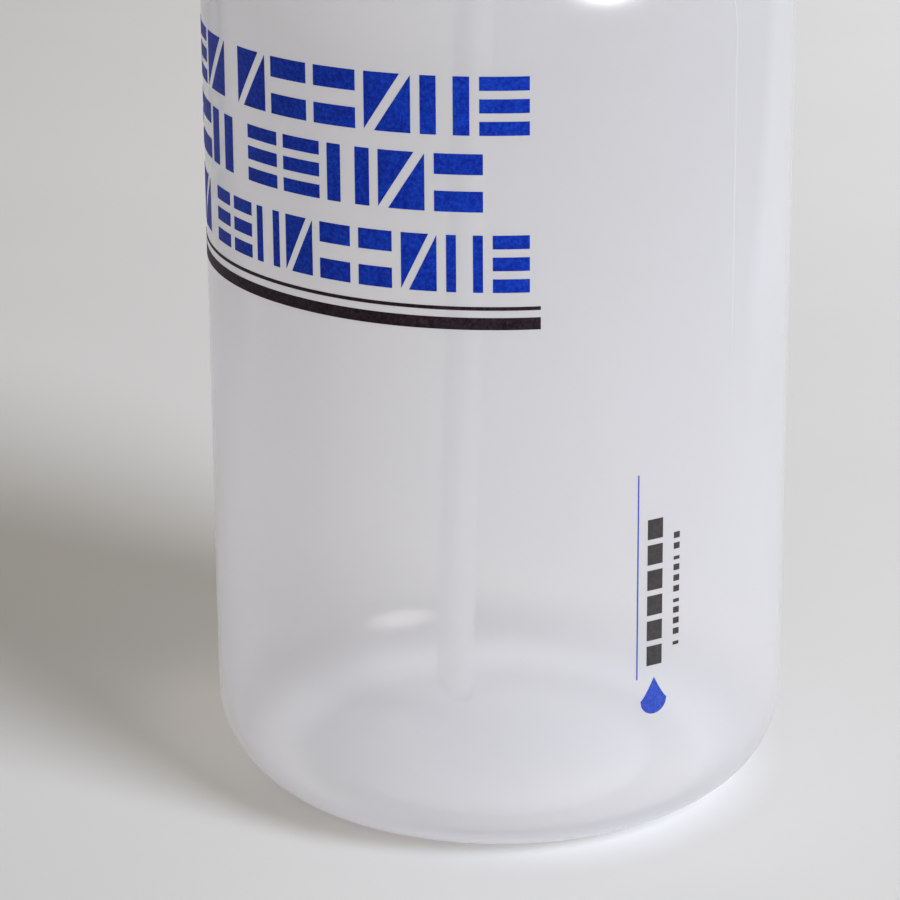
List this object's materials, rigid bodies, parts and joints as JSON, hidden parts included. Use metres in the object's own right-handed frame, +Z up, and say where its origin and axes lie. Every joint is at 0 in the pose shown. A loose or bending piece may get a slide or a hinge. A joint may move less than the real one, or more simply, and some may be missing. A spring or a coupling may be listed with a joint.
{
  "type": "wash bottle",
  "caption": "Cylindrical squeeze wash bottle with a rounded shoulder, ribbed screw cap, sealing insert, swivelling bent spout with a capped nozzle, and a leaning dip tube.",
  "frame": {"origin": "centre of the base, on the ground plane that the foot ring stands on", "axes": "+Z up along the bottle's axis, the spout points to -X, the printed front faces -Y"},
  "size_m": [0.1138, 0.075, 0.2049],
  "materials": {
    "bottle_wall": "satin, milky translucent, natural low-density polyethylene",
    "cap_plastic": "satin moulded polypropylene, blue",
    "insert_plastic": "satin, natural polyethylene",
    "spout_plastic": "satin, translucent natural polyethylene",
    "dip_tube_plastic": "satin, translucent extruded polyethylene tube"
  },
  "bodies": {
    "bottle": {"bottle": "bottle_wall"},
    "insert": {"sealing_insert": "insert_plastic"},
    "cap": {"screw_cap": "cap_plastic"},
    "spout": {"spout_tube": "spout_plastic", "nozzle_tip": "spout_plastic", "dip_tube": "dip_tube_plastic"},
    "tip_cap": {"tip_cap": "cap_plastic"}
  },
  "joints": [
    {"name": "closure_lift", "type": "slide", "parent": "bottle", "child": "insert", "axis": [0, 0, 1], "range_m": [0, 0.0063]},
    {"name": "cap_turn", "type": "hinge", "parent": "insert", "child": "cap", "pos_m": [0, 0, 0.167], "axis": [0, 0, 1], "range_deg": [0, 540]},
    {"name": "spout_swivel", "type": "hinge", "parent": "insert", "child": "spout", "pos_m": [0, 0, 0.174], "axis": [0, 0, 1], "continuous": true},
    {"name": "tip_cap_pull", "type": "slide", "parent": "spout", "child": "tip_cap", "axis": [-0.9659, 0, -0.2588], "range_m": [0, 0.03]}
  ],
  "couplings": [
    {"joint": "cap_turn", "follows": "closure_lift", "rad_per_m": 1496}
  ]
}
